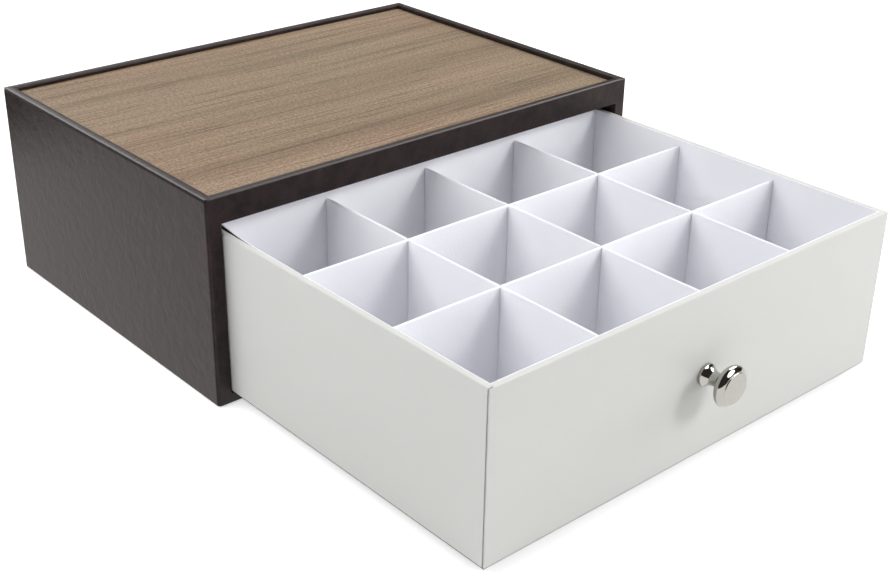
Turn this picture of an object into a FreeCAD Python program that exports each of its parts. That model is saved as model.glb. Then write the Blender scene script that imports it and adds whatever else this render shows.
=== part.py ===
import FreeCAD, Part
import os
import Sketcher

# Tea bag drawer box: a leatherette sleeve case with a walnut panel in its top and one divided drawer.
# Millimetres. X runs across the front, Y from front to back, Z up. The origin is on the table under the
# middle of the case. The drawer stands pulled out, with drawer_hold of its rear end still in the mouth.

SIZES = {
    # case, outside
    "case_width": 320.0,
    "case_depth": 232.0,
    "case_height": 125.0,
    # case boards
    "side_board": 7.5,
    "top_board": 9.0,
    "bottom_board": 5.5,
    "rim_lip": 3.4,
    # walnut panel
    "panel_thick": 3.0,
    "panel_recess": 3.0,
    "panel_clearance": 0.2,
    "panel_chamfer": 0.3,
    # case coverings
    "case_cover": 0.8,
    "cover_edge_flat": 0.1,
    "case_turn_in": 15.0,
    "case_lining": 0.3,
    "felt_thick": 0.6,
    "felt_inset": 1.0,
    "felt_corner": 2.0,
    # drawer in its case
    "drawer_hold": 16.7,
    "drawer_headroom": 6.8,
    "drawer_side_clearance": 0.5,
    "drawer_back_clearance": 0.7,
    "drawer_seat_clearance": 0.3,
    # drawer boards and coverings
    "drawer_board": 2.4,
    "drawer_floor_board": 3.0,
    "drawer_cover": 0.5,
    "drawer_turn_in": 12.0,
    "base_sheet": 0.4,
    "base_sheet_inset": 0.3,
    # liners and dividers
    "liner_thick": 0.8,
    "liner_drop": 0.1,
    "liner_clearance": 0.2,
    "divider_thick": 1.8,
    "divider_drop": 4.2,
    "divider_end_clearance": 0.3,
    "slot_clearance": 0.2,
    "slot_end_clearance": 0.3,
    # knob
    "knob_foot_radius": 6.3,
    "knob_foot_thick": 1.8,
    "knob_neck_radius": 3.8,
    "knob_neck_place": 7.2,
    "knob_head_radius": 11.5,
    "knob_head_place": 15.6,
    "knob_under_radius": 6.3,
    "knob_under_place": 12.5,
    "knob_back_radius": 10.4,
    "knob_back_place": 13.5,
    "knob_face_radius": 8.5,
    "knob_face_place": 19.3,
    "knob_step": 0.4,
    "knob_dome": 0.8,
    "knob_hole_depth": 11.0,
    # screw that holds the knob
    "screw_radius": 1.9,
    "screw_fit": 0.1,
    "screw_reach": 9.0,
    "screw_head_radius": 4.5,
    "screw_head_thick": 1.1,
    "screw_head_clearance": 0.3,
    "screw_slot_width": 1.0,
    "screw_slot_depth": 0.5,
}


class Length:
    """A length as a number, with the formula that ties it to the sheet."""

    def __init__(self, value, formula):
        self.value = value
        self.formula = formula

    def __add__(self, other):
        return Length(self.value + other.value, f"({self.formula} + {other.formula})")

    def __sub__(self, other):
        return Length(self.value - other.value, f"({self.formula} - {other.formula})")

    def __neg__(self):
        return Length(-self.value, f"(0 - {self.formula})")

    def __mul__(self, factor):
        return Length(self.value * factor, f"({self.formula} * {factor})")

    def __truediv__(self, divisor):
        return Length(self.value / divisor, f"({self.formula} / {divisor})")


class SheetLengths:
    """The sheet's cells, read by name as lengths."""

    def __init__(self, sheet, sizes):
        for row, (name, value) in enumerate(sizes.items(), start=1):
            sheet.set(f"A{row}", name)
            sheet.set(f"B{row}", str(value))
            sheet.setAlias(f"B{row}", name)
            setattr(self, name, Length(value, f"{sheet.Name}.{name}"))


ZERO = Length(0.0, "0")

doc = FreeCAD.newDocument("tea_bag_drawer_box")
sheet = doc.addObject("Spreadsheet::Sheet", "Sizes")
size = SheetLengths(sheet, SIZES)
doc.recompute()
subparts = []


# Helpers: bodies, sketches and features bound to the sheet

def new_body(name, x=ZERO, y=ZERO, z=ZERO, turn=0):
    """A body placed in the box, turned about Z by whole degrees."""
    body = doc.addObject("PartDesign::Body", name)
    body.Label = name
    place(body, x, y, z, turn)
    subparts.append(body)
    return body


def place(thing, x, y, z, turn=0):
    """Puts an object's own origin at x, y, z and turns it about Z."""
    spin = FreeCAD.Rotation(FreeCAD.Vector(0, 0, 1), turn)
    thing.Placement = FreeCAD.Placement(FreeCAD.Vector(x.value, y.value, z.value), spin)
    thing.setExpression("Placement.Base.x", x.formula)
    thing.setExpression("Placement.Base.y", y.formula)
    thing.setExpression("Placement.Base.z", z.formula)


def new_sketch(body, plane, name, height=ZERO):
    """A sketch on one of the body's own planes, lifted along that plane's normal."""
    sketch = body.newObject("Sketcher::SketchObject", name)
    support = [part for part in body.Origin.OriginFeatures if part.Role == plane][0]
    sketch.AttachmentSupport = [(support, "")]
    sketch.MapMode = "FlatFace"
    sketch.setExpression("AttachmentOffset.Base.z", height.formula)
    return sketch


def fix_point(sketch, geometry, end, u, v):
    """Holds one point of a sketch at u, v from the origin."""
    for axis, kind, amount in ((-2, "DistanceX", u), (-1, "DistanceY", v)):
        if amount is ZERO:
            sketch.addConstraint(Sketcher.Constraint("PointOnObject", geometry, end, axis))
        else:
            bound = Sketcher.Constraint(kind, -1, 1, geometry, end, amount.value)
            sketch.setExpression(f"Constraints[{sketch.addConstraint(bound)}]", amount.formula)


def add_arc(sketch, here, via, there):
    """An arc through three places, returned with the numbers of its first and last point."""
    number = sketch.addGeometry(Part.Arc(here, via, there))
    leftward = (via - here).cross(there - here).z > 0
    return (number, 1, 2) if leftward else (number, 2, 1)


def arc_through(sketch, here, there, u, v):
    """An arc held on a bound point between its ends."""
    via = FreeCAD.Vector(u.value, v.value, 0)
    arc = add_arc(sketch, here, via, there)
    marker = sketch.addGeometry(Part.Point(via), True)
    fix_point(sketch, marker, 1, u, v)
    sketch.addConstraint(Sketcher.Constraint("PointOnObject", marker, 1, arc[0]))
    return arc


def arc_to_crown(sketch, here, crown):
    """An arc that meets the upright axis squarely: its centre is held on that axis."""
    radius = (here.x ** 2 + (crown.y - here.y) ** 2) / ((crown.y - here.y) * 2)
    centre = FreeCAD.Vector(0, crown.y - radius, 0)
    middle = (here - centre) + (crown - centre)
    arc = add_arc(sketch, here, centre + middle * (radius / middle.Length), crown)
    sketch.addConstraint(Sketcher.Constraint("PointOnObject", arc[0], 3, -2))
    return arc


def outline(sketch, points, closed=True):
    """Joins points by lines. A point may add the spot that its arc runs through, or that it is a crown."""
    spots = [FreeCAD.Vector(point[0].value, point[1].value, 0) for point in points]
    count = len(points) if closed else len(points) - 1
    ends = []
    for step in range(count):
        here, there = spots[step], spots[(step + 1) % len(points)]
        target = points[(step + 1) % len(points)]
        if len(target) == 4:
            ends.append(arc_through(sketch, here, there, target[2], target[3]))
        elif len(target) == 3:
            ends.append(arc_to_crown(sketch, here, there))
        else:
            ends.append((sketch.addGeometry(Part.LineSegment(here, there)), 1, 2))
    for step in range(count):
        number, start, end = ends[step]
        fix_point(sketch, number, start, *points[step][:2])
        if step + 1 < count:
            sketch.addConstraint(Sketcher.Constraint("Coincident", number, end, *ends[step + 1][:2]))
        elif closed:
            sketch.addConstraint(Sketcher.Constraint("Coincident", number, end, *ends[0][:2]))
        else:
            fix_point(sketch, number, end, *points[step + 1][:2])
    return sketch


def rectangle(sketch, left, low, right, high):
    """A rectangle between two corners."""
    return outline(sketch, [(left, low), (right, low), (right, high), (left, high)])


def circle(sketch, u, v, radius):
    """A circle of a bound radius round a bound centre."""
    ring = sketch.addGeometry(Part.Circle(FreeCAD.Vector(u.value, v.value, 0), FreeCAD.Vector(0, 0, 1), radius.value))
    fix_point(sketch, ring, 3, u, v)
    held = sketch.addConstraint(Sketcher.Constraint("Radius", ring, radius.value))
    sketch.setExpression(f"Constraints[{held}]", radius.formula)
    return sketch


def pad(body, sketch, name, length, reverse=False):
    """Raises a sketch to a solid."""
    feature = body.newObject("PartDesign::Pad", name)
    feature.Profile = sketch
    feature.setExpression("Length", length.formula)
    feature.Reversed = reverse
    doc.recompute()
    return feature


def pocket(body, sketch, name, depth, reverse=False):
    """Cuts a sketch into the solid, and makes sure that the cut took something away."""
    before = body.Shape.Volume
    feature = body.newObject("PartDesign::Pocket", name)
    feature.Profile = sketch
    feature.setExpression("Length", depth.formula)
    feature.Reversed = reverse
    doc.recompute()
    if body.Shape.Volume >= before:
        raise ValueError(f"{body.Label}: {name} cuts nothing")
    return feature


def edges_where(shape, test):
    """Names of the straight edges whose middle and run pass a test."""
    names = []
    for number, edge in enumerate(shape.Edges, start=1):
        if isinstance(edge.Curve, Part.Line):
            first, last = edge.Vertexes[0].Point, edge.Vertexes[-1].Point
            if test((first + last) * 0.5, last - first):
                names.append(f"Edge{number}")
    return names


def fillet(body, name, radius, test):
    """Rounds the edges of the body's last feature that pass a test."""
    base = body.Tip
    feature = body.newObject("PartDesign::Fillet", name)
    feature.Base = (base, edges_where(base.Shape, test))
    feature.setExpression("Radius", radius.formula)
    doc.recompute()
    return feature


def near(value, length):
    """Whether a coordinate lies on a bound plane."""
    return abs(value - length.value) < size.case_lining.value / 100


def board(name, x, y, z):
    """A flat board or sheet between two bound corners, each axis given as a (low, high) pair."""
    solid = doc.addObject("Part::Box", name)
    solid.Label = name
    for side, (low, high) in (("Length", x), ("Width", y), ("Height", z)):
        solid.setExpression(side, (high - low).formula)
    place(solid, x[0], y[0], z[0])
    subparts.append(solid)
    return solid


def mirrored(name, source):
    """The same piece for the other side of the box."""
    twin = doc.addObject("Part::Mirroring", name)
    twin.Label = name
    twin.Source = source
    twin.Normal = (1, 0, 0)
    subparts.append(twin)
    return twin


# Where things lie: half widths, levels and faces that several pieces share

outer_x = size.case_width / 2
outer_y = size.case_depth / 2
core_x = outer_x - size.case_cover
core_y = outer_y - size.case_cover
lip_x = core_x - size.rim_lip
lip_y = core_y - size.rim_lip
inner_x = core_x - size.side_board
inner_y = core_y - size.side_board

foot_z = size.felt_thick
side_foot_z = foot_z + size.case_cover
floor_z = foot_z + size.bottom_board
core_top_z = size.case_height - size.case_cover
panel_top_z = size.case_height - size.panel_recess
panel_foot_z = panel_top_z - size.panel_thick
ceiling_z = panel_foot_z - size.top_board
case_round = size.case_cover - size.cover_edge_flat
drawer_round = size.drawer_cover - size.cover_edge_flat

drawer_x = inner_x - size.case_cover - size.drawer_side_clearance
drawer_depth = inner_y - size.case_lining - size.drawer_back_clearance + outer_y
drawer_back_y = size.drawer_hold - outer_y
drawer_front_y = drawer_back_y - drawer_depth
drawer_foot_z = floor_z + size.case_cover + size.drawer_seat_clearance
drawer_top_z = ceiling_z - size.drawer_headroom
drawer_board_z = drawer_foot_z + size.base_sheet + size.drawer_cover
drawer_board_x = drawer_x - size.drawer_cover
drawer_wall_x = drawer_board_x - size.drawer_board
drawer_wall_front_y = drawer_front_y + size.drawer_cover + size.drawer_board
drawer_wall_back_y = drawer_back_y - size.drawer_cover - size.drawer_board
drawer_floor_z = drawer_foot_z + size.base_sheet + size.drawer_floor_board
liner_floor_z = drawer_floor_z + size.liner_thick
knob_z = (drawer_foot_z + drawer_top_z) / 2


# Case boards

def wall_section(sketch):
    """Section of a case wall: rebates leave a lip above for the top board and one below for the bottom."""
    top = core_top_z - side_foot_z
    outline(sketch, [
        (ZERO, ZERO),
        (size.rim_lip, ZERO),
        (size.rim_lip, floor_z - side_foot_z),
        (size.side_board, floor_z - side_foot_z),
        (size.side_board, ceiling_z - side_foot_z),
        (size.rim_lip, ceiling_z - side_foot_z),
        (size.rim_lip, top),
        (ZERO, top),
    ])


def case_side():
    """Left side: the wall section along the depth, rebated at the rear for the back board."""
    body = new_body("case_left_side", -core_x, -core_y, side_foot_z)
    section = new_sketch(body, "XZ_Plane", "side_section")
    wall_section(section)
    pad(body, section, "side_length", core_y * 2, reverse=True)
    rebate = new_sketch(body, "XY_Plane", "back_rebate_outline")
    rectangle(rebate, size.rim_lip, core_y * 2 - size.side_board, size.side_board, core_y * 2)
    pocket(body, rebate, "back_rebate", core_top_z - side_foot_z, reverse=True)
    return body


def case_back_board():
    """Back: the same wall section, let in between the lips of the sides."""
    body = new_body("case_back_board", -lip_x, core_y, side_foot_z, turn=-90)
    section = new_sketch(body, "XZ_Plane", "back_section")
    wall_section(section)
    pad(body, section, "back_length", lip_x * 2, reverse=True)


def case_front_rail():
    """Rail over the opening, between the side lips, with a ledge behind its lip for the panel."""
    body = new_body("case_front_rail", lip_x, -core_y, ceiling_z, turn=90)
    section = new_sketch(body, "XZ_Plane", "rail_section")
    ledge = panel_foot_z - ceiling_z
    top = core_top_z - ceiling_z
    outline(section, [
        (ZERO, ZERO),
        (size.side_board, ZERO),
        (size.side_board, ledge),
        (size.rim_lip, ledge),
        (size.rim_lip, top),
        (ZERO, top),
    ])
    pad(body, section, "rail_length", lip_x * 2, reverse=True)


def walnut_top_panel():
    """Veneered panel on the top board, inside the covered rim, with fine chamfers round its face."""
    half_x = lip_x - size.case_cover - size.panel_clearance
    half_y = lip_y - size.case_cover - size.panel_clearance
    body = new_body("walnut_top_panel", z=panel_foot_z)
    plan = new_sketch(body, "XY_Plane", "panel_outline")
    rectangle(plan, -half_x, -half_y, half_x, half_y)
    solid = pad(body, plan, "panel_thickness", size.panel_thick)
    edge_break = body.newObject("PartDesign::Chamfer", "edge_break")
    edge_break.Base = (solid, edges_where(solid.Shape, lambda middle, run: near(middle.z, size.panel_thick)))
    edge_break.setExpression("Size", size.panel_chamfer.formula)


left_side = case_side()
mirrored("case_right_side", left_side)
case_back_board()
case_front_rail()
board("case_top_board", (-lip_x, lip_x), (size.side_board - core_y, lip_y), (ceiling_z, panel_foot_z))
board("case_bottom_board", (-lip_x, lip_x), (-core_y, lip_y), (foot_z, floor_z))
walnut_top_panel()


# Coverings that go round three walls in one strip

def strip_section(sketch, cover, lip, top, turn_in):
    """Section of a covering: up the outside, over the top edge, down the inside, and under the foot."""
    outline(sketch, [
        (ZERO, ZERO),
        (ZERO, top),
        (cover * 2 + lip, top),
        (cover * 2 + lip, top - turn_in),
        (cover + lip, top - turn_in),
        (cover + lip, top - cover),
        (cover, top - cover),
        (cover, cover),
        (cover + lip, cover),
        (cover + lip, ZERO),
    ])


def side_strip(name, x, y, z, width, depth, cover, lip, top, turn_in, rounding):
    """Covering swept round left, back and right. The turn-in stops short of the front board's cover."""
    body = new_body(name, x, y, z)
    section = new_sketch(body, "XZ_Plane", name + "_section")
    strip_section(section, cover, lip, top, turn_in)
    path = new_sketch(body, "XY_Plane", name + "_path")
    outline(path, [(ZERO, ZERO), (ZERO, depth), (width, depth), (width, ZERO)], closed=False)
    doc.recompute()
    sweep = body.newObject("PartDesign::AdditivePipe", name + "_sweep")
    sweep.Profile = section
    sweep.Spine = (path, ["Edge1", "Edge2", "Edge3"])
    sweep.Transition = "Right corner"
    doc.recompute()
    notch = new_sketch(body, "XY_Plane", name + "_front_notches")
    rectangle(notch, cover + lip, ZERO, cover * 2 + lip, lip + cover)
    rectangle(notch, width - cover * 2 - lip, ZERO, width - cover - lip, lip + cover)
    pocket(body, notch, name + "_notches", top, reverse=True)

    def outside(middle, run):
        level = near(run.z, ZERO)
        outer = near(middle.x, ZERO) or near(middle.x, width) or near(middle.y, depth)
        edge = level and outer and (near(middle.z, top) or near(middle.z, ZERO)) and run.Length > lip.value * 2
        corner = near(middle.y, depth) and not level and (near(middle.x, ZERO) or near(middle.x, width))
        return edge or corner

    fillet(body, name + "_rounding", rounding, outside)


def front_shell(name, x, y, z, width, top, cover, lip, turn_in, rounding, opening=None, opening_turn_in=None):
    """Covering of a front: a plate with a strip turned over its top edge and, below, under its foot."""
    body = new_body(name, x, y, z)
    face = new_sketch(body, "XZ_Plane", name + "_face")
    rectangle(face, ZERO, ZERO, width, top)
    if opening:
        rectangle(face, *opening)
    pad(body, face, name + "_plate", cover, reverse=True)
    inset = cover + lip
    over = new_sketch(body, "YZ_Plane", name + "_turn_over", height=inset)
    outline(over, [
        (cover, top - cover),
        (cover, top),
        (cover * 2 + lip, top),
        (cover * 2 + lip, top - turn_in),
        (cover + lip, top - turn_in),
        (cover + lip, top - cover),
    ])
    pad(body, over, name + "_top_strip", width - inset * 2)
    if opening:
        left, low, right, high = opening
        ring = new_sketch(body, "XZ_Plane", name + "_sleeve_ring", height=-cover)
        rectangle(ring, left - cover, low - cover, right + cover, high + cover)
        rectangle(ring, left, low, right, high)
        pad(body, ring, name + "_sleeve", opening_turn_in - cover, reverse=True)
    else:
        under = new_sketch(body, "YZ_Plane", name + "_turn_under", height=inset)
        rectangle(under, cover, ZERO, cover + lip, cover)
        pad(body, under, name + "_foot_strip", width - inset * 2)

    def front_edge(middle, run):
        rim = near(middle.z, top) or near(middle.z, ZERO) or near(middle.x, ZERO) or near(middle.x, width)
        hole = opening and size.case_lining.value < middle.x < width.value - size.case_lining.value
        return near(middle.y, ZERO) and bool(rim or hole)

    fillet(body, name + "_rounding", rounding, front_edge)


side_strip("case_side_cover", -outer_x, size.case_cover - outer_y, foot_z, size.case_width,
           size.case_depth - size.case_cover, size.case_cover, size.rim_lip, size.case_height - foot_z,
           size.case_height - panel_foot_z, case_round)

mouth_x = inner_x - size.case_cover
case_mouth = (outer_x - mouth_x, floor_z + size.case_cover - foot_z,
              outer_x + mouth_x, ceiling_z - size.case_cover - foot_z)
front_shell("case_front_cover", -outer_x, -outer_y, foot_z, size.case_width, size.case_height - foot_z,
            size.case_cover, size.rim_lip, size.case_height - panel_foot_z, case_round,
            case_mouth, size.case_turn_in)


# Felt under the case and the paper inside it

def case_base_felt():
    """Felt sheet on the table, a little inside the edges, with rounded corners."""
    half_x = outer_x - size.felt_inset
    half_y = outer_y - size.felt_inset
    body = new_body("case_base_felt")
    plan = new_sketch(body, "XY_Plane", "felt_outline")
    rectangle(plan, -half_x, -half_y, half_x, half_y)
    pad(body, plan, "felt", size.felt_thick)
    fillet(body, "felt_corners", size.felt_corner, lambda middle, run: not near(run.z, ZERO))


def case_wall_lining():
    """One sheet folded round the inside of left, back and right, behind the front's turn-in."""
    start = size.case_turn_in - outer_y
    body = new_body("case_wall_lining", z=floor_z)
    plan = new_sketch(body, "XY_Plane", "lining_outline")
    sheet_x = inner_x - size.case_lining
    outline(plan, [
        (-inner_x, start),
        (-sheet_x, start),
        (-sheet_x, inner_y - size.case_lining),
        (sheet_x, inner_y - size.case_lining),
        (sheet_x, start),
        (inner_x, start),
        (inner_x, inner_y),
        (-inner_x, inner_y),
    ])
    pad(body, plan, "lining_height", ceiling_z - floor_z)


case_base_felt()
case_wall_lining()
lined_x = (size.case_lining - inner_x, inner_x - size.case_lining)
lined_y = (size.case_turn_in - outer_y, inner_y - size.case_lining)
board("case_floor_lining", lined_x, lined_y, (floor_z, floor_z + size.case_lining))
board("case_ceiling_lining", lined_x, lined_y, (ceiling_z - size.case_lining, ceiling_z))


# Drawer boards

def drawer_front_board():
    """Front board with the knob screw's hole and a shallow seat for its head on the inside."""
    rise = drawer_top_z - size.drawer_cover - drawer_board_z
    body = new_body("drawer_front_board", y=drawer_front_y + size.drawer_cover, z=drawer_board_z)
    face = new_sketch(body, "XZ_Plane", "front_board_face")
    rectangle(face, -drawer_board_x, ZERO, drawer_board_x, rise)
    pad(body, face, "front_board", size.drawer_board, reverse=True)
    hole = new_sketch(body, "XZ_Plane", "screw_hole_outline")
    circle(hole, ZERO, knob_z - drawer_board_z, size.screw_radius + size.screw_fit)
    pocket(body, hole, "screw_hole", size.drawer_board)
    seat = new_sketch(body, "XZ_Plane", "head_seat_outline", height=-size.drawer_board)
    circle(seat, ZERO, knob_z - drawer_board_z, size.screw_head_radius + size.screw_head_clearance)
    pocket(body, seat, "head_seat", size.screw_head_thick, reverse=True)


drawer_front_board()
drawer_rise = (drawer_board_z, drawer_top_z - size.drawer_cover)
board("drawer_back_board", (-drawer_board_x, drawer_board_x),
      (drawer_wall_back_y, drawer_back_y - size.drawer_cover), drawer_rise)
left_wall = board("drawer_left_board", (-drawer_board_x, -drawer_wall_x),
                  (drawer_wall_front_y, drawer_wall_back_y), drawer_rise)
mirrored("drawer_right_board", left_wall)
board("drawer_bottom_board", (-drawer_wall_x, drawer_wall_x), (drawer_wall_front_y, drawer_wall_back_y),
      (drawer_foot_z + size.base_sheet, drawer_floor_z))


# Drawer coverings

drawer_cover_z = drawer_foot_z + size.base_sheet
side_strip("drawer_side_cover", -drawer_x, drawer_front_y + size.drawer_cover, drawer_cover_z, drawer_x * 2,
           drawer_back_y - drawer_front_y - size.drawer_cover, size.drawer_cover, size.drawer_board,
           drawer_top_z - drawer_cover_z, size.drawer_turn_in, drawer_round)


def drawer_front_cover():
    """White covering of the drawer's front, pierced for the knob's screw."""
    front_shell("drawer_front_cover", -drawer_x, drawer_front_y, drawer_cover_z, drawer_x * 2,
                drawer_top_z - drawer_cover_z, size.drawer_cover, size.drawer_board, size.drawer_turn_in,
                drawer_round)
    body = subparts[-1]
    hole = new_sketch(body, "XZ_Plane", "cover_screw_hole_outline")
    circle(hole, drawer_x, knob_z - drawer_cover_z, size.screw_radius + size.screw_fit)
    pocket(body, hole, "cover_screw_hole", size.drawer_cover)


drawer_front_cover()
sheet_x = drawer_x - size.base_sheet_inset
board("drawer_base_sheet", (-sheet_x, sheet_x),
      (drawer_front_y + size.base_sheet_inset, drawer_back_y - size.base_sheet_inset),
      (drawer_foot_z, drawer_cover_z))


# Papered cards inside the drawer

card_x = drawer_wall_x - size.drawer_cover
card_front_y = drawer_wall_front_y + size.drawer_cover
card_back_y = drawer_wall_back_y - size.drawer_cover
card_rise = (liner_floor_z, drawer_top_z - size.liner_drop)

board("liner_floor", (size.liner_clearance - drawer_wall_x, drawer_wall_x - size.liner_clearance),
      (drawer_wall_front_y + size.liner_clearance, drawer_wall_back_y - size.liner_clearance),
      (drawer_floor_z, liner_floor_z))
board("liner_front", (-card_x, card_x), (card_front_y, card_front_y + size.liner_thick), card_rise)
board("liner_back", (-card_x, card_x), (card_back_y - size.liner_thick, card_back_y), card_rise)
left_liner = board("liner_left", (-card_x, size.liner_thick - card_x),
                   (card_front_y + size.liner_thick + size.liner_clearance,
                    card_back_y - size.liner_thick - size.liner_clearance), card_rise)
mirrored("liner_right", left_liner)

cell_x = card_x - size.liner_thick
cell_front_y = card_front_y + size.liner_thick
cell_back_y = card_back_y - size.liner_thick
COLUMNS = 4
ROWS = 3
column_pitch = cell_x * 2 / COLUMNS
row_pitch = (cell_back_y - cell_front_y) / ROWS
divider_rise = drawer_top_z - size.divider_drop - liner_floor_z


def divider(name, plane, x, y, length, crossings, from_above):
    """A card with a half-height slot at each crossing, from above or from below."""
    body = new_body(name, x, y, liner_floor_z)
    half_slot = size.divider_thick / 2 + size.slot_clearance
    slot_end = divider_rise / 2 - size.slot_end_clearance if from_above else divider_rise / 2 + size.slot_end_clearance
    slotted, plain = (divider_rise, ZERO) if from_above else (ZERO, divider_rise)
    points = [(ZERO, slotted)]
    for crossing in crossings:
        points += [(crossing - half_slot, slotted), (crossing - half_slot, slot_end),
                   (crossing + half_slot, slot_end), (crossing + half_slot, slotted)]
    points += [(length, slotted), (length, plain), (ZERO, plain)]
    card = new_sketch(body, plane, name + "_outline")
    outline(card, points)
    pad(body, card, name + "_card", size.divider_thick, reverse=(plane == "XZ_Plane"))


long_length = cell_back_y - cell_front_y - size.divider_end_clearance * 2
cross_length = cell_x * 2 - size.divider_end_clearance * 2
row_crossings = [row_pitch * row - size.divider_end_clearance for row in range(1, ROWS)]
column_crossings = [column_pitch * column - size.divider_end_clearance for column in range(1, COLUMNS)]

for column, side in enumerate(("left", "middle", "right"), start=1):
    divider("divider_long_" + side, "YZ_Plane", column_pitch * column - cell_x - size.divider_thick / 2,
            cell_front_y + size.divider_end_clearance, long_length, row_crossings, from_above=True)

for row, side in enumerate(("front", "back"), start=1):
    divider("divider_cross_" + side, "XZ_Plane", size.divider_end_clearance - cell_x,
            cell_front_y + row_pitch * row - size.divider_thick / 2, cross_length, column_crossings,
            from_above=False)


# Knob and its screw, turned about their common axis

def turned(body, sketch, name):
    """Revolves a sketch about its own upright axis."""
    feature = body.newObject("PartDesign::Revolution", name)
    feature.Profile = sketch
    feature.ReferenceAxis = (sketch, ["V_Axis"])
    doc.recompute()
    return feature


def knob():
    """Mushroom knob: a foot disc, a hollowed neck, a rounded head and a domed face inside a step."""
    body = new_body("knob", y=drawer_front_y, z=knob_z, turn=180)
    bore = size.screw_radius + size.screw_fit
    face_edge = size.knob_face_radius - size.knob_step
    face_place = size.knob_face_place - size.knob_step
    profile = new_sketch(body, "XY_Plane", "knob_profile")
    outline(profile, [
        (bore, ZERO),
        (size.knob_foot_radius, ZERO),
        (size.knob_foot_radius, size.knob_foot_thick),
        (size.knob_under_radius, size.knob_under_place, size.knob_neck_radius, size.knob_neck_place),
        (size.knob_back_radius, size.knob_back_place),
        (size.knob_face_radius, size.knob_face_place, size.knob_head_radius, size.knob_head_place),
        (face_edge, face_place),
        (ZERO, face_place + size.knob_dome, "crown"),
        (ZERO, size.knob_hole_depth),
        (bore, size.knob_hole_depth),
    ])
    turned(body, profile, "knob_turning")


def knob_screw():
    """Flat-headed screw whose head lies in the seat of the front board, with a driver slot."""
    head_y = drawer_front_y + size.drawer_cover + size.drawer_board
    head = size.screw_head_thick
    body = new_body("knob_screw", y=head_y, z=knob_z, turn=180)
    profile = new_sketch(body, "XY_Plane", "screw_profile")
    outline(profile, [
        (ZERO, ZERO),
        (size.screw_head_radius, ZERO),
        (size.screw_head_radius, head),
        (size.screw_radius, head),
        (size.screw_radius, size.drawer_cover + size.drawer_board + size.screw_reach),
        (ZERO, size.drawer_cover + size.drawer_board + size.screw_reach),
    ])
    turned(body, profile, "screw_turning")
    slot = new_sketch(body, "XZ_Plane", "driver_slot_outline")
    rectangle(slot, -size.screw_head_radius, -size.screw_slot_width / 2,
              size.screw_head_radius, size.screw_slot_width / 2)
    pocket(body, slot, "driver_slot", size.screw_slot_depth)


knob()
knob_screw()


# Every object is sound before anything is written

doc.recompute()
for thing in doc.Objects:
    if "Invalid" in thing.State or "Error" in thing.State:
        raise ValueError(f"{thing.Label} failed: {thing.State}")
for subpart in subparts:
    shape = subpart.Shape
    if shape.isNull() or not shape.isValid() or len(shape.Solids) != 1:
        raise ValueError(f"{subpart.Label} is not one sound solid")

os.makedirs("parts", exist_ok=True)
for subpart in subparts:
    subpart.Shape.exportStep(f"parts/{subpart.Label}.step")
print(f"{len(subparts)} sub-parts written")
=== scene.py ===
import bpy
import numpy as np
from mathutils import Matrix, Vector


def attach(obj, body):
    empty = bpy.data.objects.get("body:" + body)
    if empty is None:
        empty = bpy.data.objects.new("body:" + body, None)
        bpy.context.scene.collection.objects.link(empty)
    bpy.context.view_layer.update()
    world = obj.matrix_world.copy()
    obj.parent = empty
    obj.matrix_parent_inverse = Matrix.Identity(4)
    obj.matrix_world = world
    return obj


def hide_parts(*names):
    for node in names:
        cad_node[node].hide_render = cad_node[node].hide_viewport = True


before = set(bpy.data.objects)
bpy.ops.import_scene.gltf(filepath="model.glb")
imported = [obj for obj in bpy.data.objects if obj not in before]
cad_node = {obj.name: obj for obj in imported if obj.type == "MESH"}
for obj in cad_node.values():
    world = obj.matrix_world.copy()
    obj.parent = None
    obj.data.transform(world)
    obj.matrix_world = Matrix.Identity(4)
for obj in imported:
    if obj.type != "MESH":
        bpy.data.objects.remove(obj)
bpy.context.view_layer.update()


# Camera. It stands to the front left of the box and a little above it, where the photograph
# was taken from, and looks down on the open drawer.

CAMERA_PLACE = (-0.5100, -0.6977, 0.4133)
PICTURE_RIGHT = (0.7534, -0.6574, 0.0151)
PICTURE_UP = (0.2847, 0.3469, 0.8937)
SIGHT = (0.5927, 0.6690, -0.4485)

camera = bpy.data.objects.new("camera", bpy.data.cameras.new("camera"))
camera.data.lens = 57.19
camera.data.sensor_width = 36.0
camera.data.clip_start = 0.02
camera.data.clip_end = 60.0
rows = [(right, up, -ahead, place)
        for right, up, ahead, place in zip(PICTURE_RIGHT, PICTURE_UP, SIGHT, CAMERA_PLACE)]
camera.matrix_world = Matrix((*rows, (0, 0, 0, 1)))
bpy.context.collection.objects.link(camera)
bpy.context.scene.camera = camera
bpy.context.scene.view_settings.view_transform = "Standard"


# Floor and light. A pale table top in a white room. A key lamp stands high on the right in front
# and another low on the right, a broad fill hangs high on the left, and a weak lamp overhead.
# Shiny surfaces mirror a dim room that is white behind, with a few softboxes and no lamps.

FLOOR_REACH = 8.0
FLOOR_GLOW = 0.55
SHEET_FADES, SHEET_ENDS = 0.28, 0.42
SHEET_BRIGHT, SHEET_DARK = 1.2, 0.08


def mesh_object(name, points, faces, crease=35.0):
    """An object at the origin from arrays of points and faces, smooth but for edges sharper than
    crease degrees."""
    mesh = bpy.data.meshes.new(name)
    mesh.from_pydata(points.tolist(), [], faces)
    mesh.validate()
    mesh.shade_smooth()
    mesh.set_sharp_from_angle(angle=np.radians(crease))
    made = bpy.data.objects.new(name, mesh)
    bpy.context.collection.objects.link(made)
    return made


def new_finish(name):
    """An empty node material: gives back the material, its nodes, a joiner of sockets and its shader."""
    material = bpy.data.materials.new(name)
    material.use_nodes = True
    tree = material.node_tree
    return material, tree.nodes, tree.links.new, tree.nodes["Principled BSDF"]


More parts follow.
